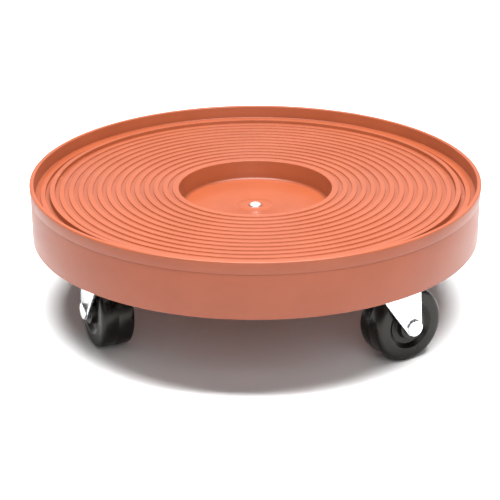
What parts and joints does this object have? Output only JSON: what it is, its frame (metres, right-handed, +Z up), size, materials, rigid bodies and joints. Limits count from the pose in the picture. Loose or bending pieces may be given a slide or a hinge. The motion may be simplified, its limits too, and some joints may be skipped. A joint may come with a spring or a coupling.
{
  "type": "plant pot caddy",
  "caption": "Round saucer-shaped plant pot caddy with a ridged deck, a sunken centre well and swivel casters under the skirt.",
  "frame": {"origin": "on the floor, under the centre of the deck", "axes": "+Z up; the casters stand on the diagonals of X and Y, and -Y is the front"},
  "size_m": [0.4064, 0.4064, 0.127],
  "materials": {
    "terracotta_plastic": "satin moulded plastic",
    "zinc_plate": "bright zinc plate",
    "bright_steel": "plain bright steel",
    "black_rubber": "hard rubber, satin",
    "rivet_aluminium": "bright"
  },
  "bodies": {
    "deck": {"deck": "terracotta_plastic", "centre_rivet": "rivet_aluminium", "rivet_mandrel": "bright_steel", "rivet_washer": "zinc_plate", "front_right_top_plate": "zinc_plate", "front_right_kingpin": "bright_steel", "front_right_lower_race": "zinc_plate", "front_right_screw_1": "zinc_plate", "front_right_screw_2": "zinc_plate", "front_right_screw_3": "zinc_plate", "front_right_screw_4": "zinc_plate", "front_left_top_plate": "zinc_plate", "front_left_kingpin": "bright_steel", "front_left_lower_race": "zinc_plate", "front_left_screw_1": "zinc_plate", "front_left_screw_2": "zinc_plate", "front_left_screw_3": "zinc_plate", "front_left_screw_4": "zinc_plate", "rear_left_top_plate": "zinc_plate", "rear_left_kingpin": "bright_steel", "rear_left_lower_race": "zinc_plate", "rear_left_screw_1": "zinc_plate", "rear_left_screw_2": "zinc_plate", "rear_left_screw_3": "zinc_plate", "rear_left_screw_4": "zinc_plate", "rear_right_top_plate": "zinc_plate", "rear_right_kingpin": "bright_steel", "rear_right_lower_race": "zinc_plate", "rear_right_screw_1": "zinc_plate", "rear_right_screw_2": "zinc_plate", "rear_right_screw_3": "zinc_plate", "rear_right_screw_4": "zinc_plate"},
    "front_right_caster": {"front_right_fork": "zinc_plate", "front_right_upper_balls": "bright_steel", "front_right_lower_balls": "bright_steel", "front_right_axle_sleeve": "bright_steel", "front_right_axle": "zinc_plate", "front_right_axle_cap": "zinc_plate"},
    "front_right_roller": {"front_right_wheel": "black_rubber"},
    "front_left_caster": {"front_left_fork": "zinc_plate", "front_left_upper_balls": "bright_steel", "front_left_lower_balls": "bright_steel", "front_left_axle_sleeve": "bright_steel", "front_left_axle": "zinc_plate", "front_left_axle_cap": "zinc_plate"},
    "front_left_roller": {"front_left_wheel": "black_rubber"},
    "rear_left_caster": {"rear_left_fork": "zinc_plate", "rear_left_upper_balls": "bright_steel", "rear_left_lower_balls": "bright_steel", "rear_left_axle_sleeve": "bright_steel", "rear_left_axle": "zinc_plate", "rear_left_axle_cap": "zinc_plate"},
    "rear_left_roller": {"rear_left_wheel": "black_rubber"},
    "rear_right_caster": {"rear_right_fork": "zinc_plate", "rear_right_upper_balls": "bright_steel", "rear_right_lower_balls": "bright_steel", "rear_right_axle_sleeve": "bright_steel", "rear_right_axle": "zinc_plate", "rear_right_axle_cap": "zinc_plate"},
    "rear_right_roller": {"rear_right_wheel": "black_rubber"}
  },
  "joints": [
    {"name": "front_right_swivel", "type": "hinge", "parent": "deck", "child": "front_right_caster", "pos_m": [0.11328, -0.11328, 0.0728], "axis": [0, 0, 1], "continuous": true},
    {"name": "front_right_roll", "type": "hinge", "parent": "front_right_caster", "child": "front_right_roller", "pos_m": [0.13337, -0.09841, 0.0335], "axis": [-0.5948, 0.8039, 0], "continuous": true},
    {"name": "front_left_swivel", "type": "hinge", "parent": "deck", "child": "front_left_caster", "pos_m": [-0.11328, -0.11328, 0.0728], "axis": [0, 0, 1], "continuous": true},
    {"name": "front_left_roll", "type": "hinge", "parent": "front_left_caster", "child": "front_left_roller", "pos_m": [-0.12443, -0.0909, 0.0335], "axis": [-0.8949, -0.4462, 0], "continuous": true},
    {"name": "rear_left_swivel", "type": "hinge", "parent": "deck", "child": "rear_left_caster", "pos_m": [-0.11328, 0.11328, 0.0728], "axis": [0, 0, 1], "continuous": true},
    {"name": "rear_left_roll", "type": "hinge", "parent": "rear_left_caster", "child": "rear_left_roller", "pos_m": [-0.13535, 0.12501, 0.0335], "axis": [-0.4695, -0.8829, 0], "continuous": true},
    {"name": "rear_right_swivel", "type": "hinge", "parent": "deck", "child": "rear_right_caster", "pos_m": [0.11328, 0.11328, 0.0728], "axis": [0, 0, 1], "continuous": true},
    {"name": "rear_right_roll", "type": "hinge", "parent": "rear_right_caster", "child": "rear_right_roller", "pos_m": [0.13706, 0.121, 0.0335], "axis": [-0.309, 0.9511, 0], "continuous": true}
  ]
}
